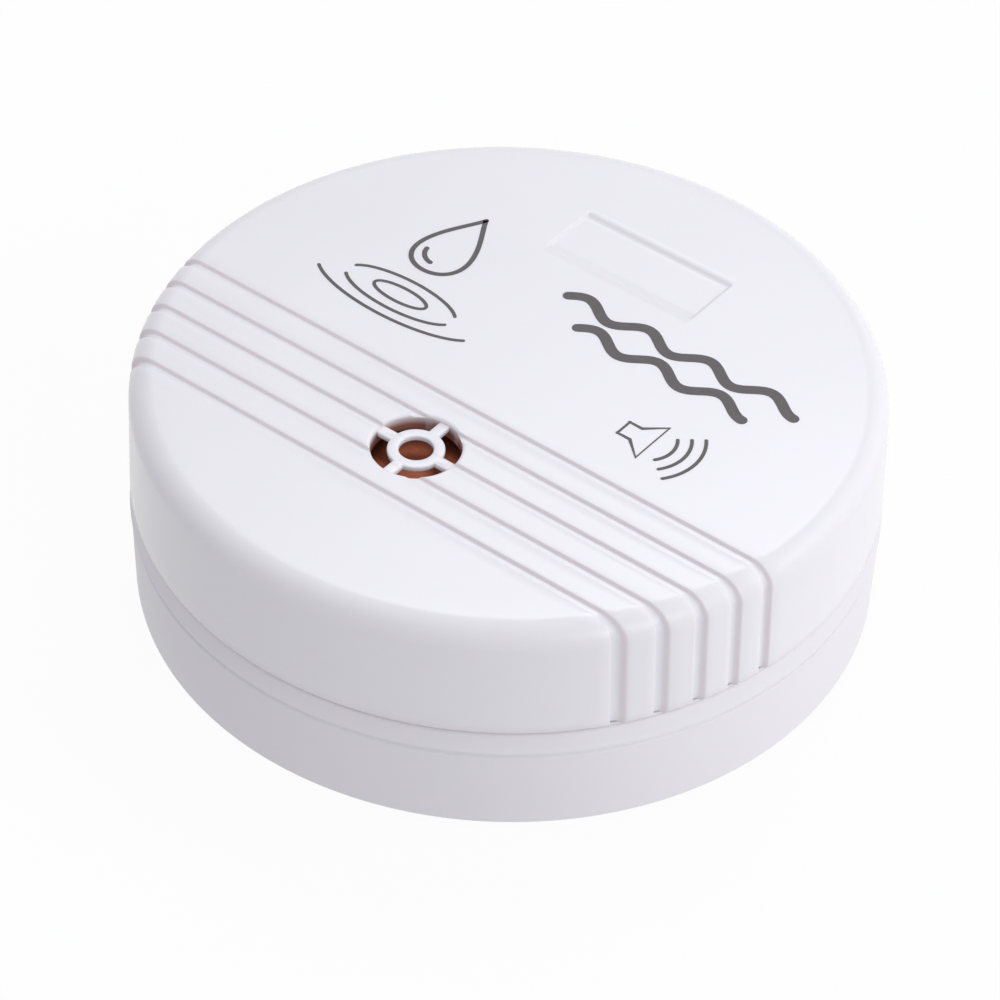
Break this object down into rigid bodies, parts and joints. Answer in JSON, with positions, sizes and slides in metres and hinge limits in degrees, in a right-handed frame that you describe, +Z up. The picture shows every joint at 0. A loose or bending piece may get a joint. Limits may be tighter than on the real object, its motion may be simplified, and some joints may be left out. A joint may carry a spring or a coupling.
{
  "type": "water leak sensor",
  "caption": "Round floor-standing water leak alarm: grooved two-part case with a spoked sound hole, metal probes underneath and a hinged battery door.",
  "frame": {"origin": "middle of the plane of the feet, on the case's axis", "axes": "+Z up, X along the grooves, +Y from the sound hole towards the label recess"},
  "size_m": [0.0602, 0.0602, 0.0205],
  "materials": {
    "cover_plastic": "white moulded ABS, semi-gloss",
    "base_plastic": "white moulded ABS, semi-gloss",
    "plated_steel": "nickel plated steel",
    "probe_steel": "polished stainless steel",
    "cell_steel": "bright nickel plated can",
    "sounder_brass": "rolled brass, tarnished",
    "ceramic": "silvered ceramic",
    "adhesive": "foam tape",
    "board_laminate": "solder-masked laminate",
    "component_black": "moulded black",
    "copper_wire": "enamelled copper wire",
    "capacitor_sleeve": "shrink sleeve",
    "red_insulation": "PVC insulation",
    "black_insulation": "PVC insulation"
  },
  "bodies": {
    "case": {"top_cover": "cover_plastic", "base_shell": "base_plastic", "case_screws": "plated_steel", "button_cell_1": "cell_steel", "button_cell_2": "cell_steel", "button_cell_3": "cell_steel", "battery_spring": "plated_steel", "negative_contact": "plated_steel", "positive_contact": "plated_steel", "adhesive_ring": "adhesive", "piezo_plate": "sounder_brass", "piezo_ceramic": "ceramic", "circuit_board": "board_laminate", "controller_chip": "component_black", "driver_transistor": "component_black", "boost_coil_core": "component_black", "boost_coil_winding": "copper_wire", "storage_capacitor": "capacitor_sleeve", "chip_resistors": "component_black", "left_probe": "probe_steel", "right_probe": "probe_steel", "probe_nuts": "plated_steel", "piezo_lead_red": "red_insulation", "piezo_lead_black": "black_insulation", "battery_lead_red": "red_insulation", "battery_lead_black": "black_insulation"},
    "door": {"battery_door": "base_plastic"}
  },
  "joints": [
    {"name": "battery_door_hinge", "type": "hinge", "parent": "case", "child": "door", "pos_m": [-0.01395, 0.0095, 0.0011], "axis": [0, 1, 0], "range_deg": [0, 90]}
  ]
}
